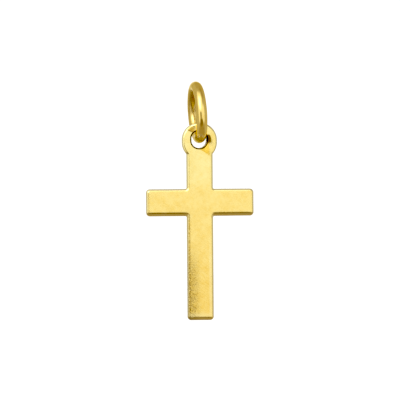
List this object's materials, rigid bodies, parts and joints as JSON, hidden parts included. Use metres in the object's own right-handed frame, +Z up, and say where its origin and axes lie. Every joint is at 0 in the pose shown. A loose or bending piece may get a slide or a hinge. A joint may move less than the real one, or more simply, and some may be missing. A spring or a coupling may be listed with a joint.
{
  "type": "cross pendant",
  "caption": "Small plain Latin cross of polished yellow gold with rounded edges and an oval eye, hanging free from a round-wire jump ring.",
  "frame": {"origin": "top of the jump ring's inner side, where a chain or cord carries the pendant", "axes": "+Z up, the front of the cross faces -Y, +X to the right in the front view"},
  "size_m": [0.009, 0.0052, 0.02],
  "materials": {
    "cross_gold": "yellow gold, polished to a soft mirror",
    "ring_gold": "yellow gold, polished round wire"
  },
  "bodies": {
    "ring": {"jump_ring": "ring_gold"},
    "pendant": {"cross": "cross_gold"}
  },
  "joints": [
    {"name": "cross_swing", "type": "hinge", "parent": "ring", "child": "pendant", "pos_m": [0.00023, 0.00002, -0.00381], "axis": [0, 1, 0], "range_deg": [-140, 140]}
  ]
}
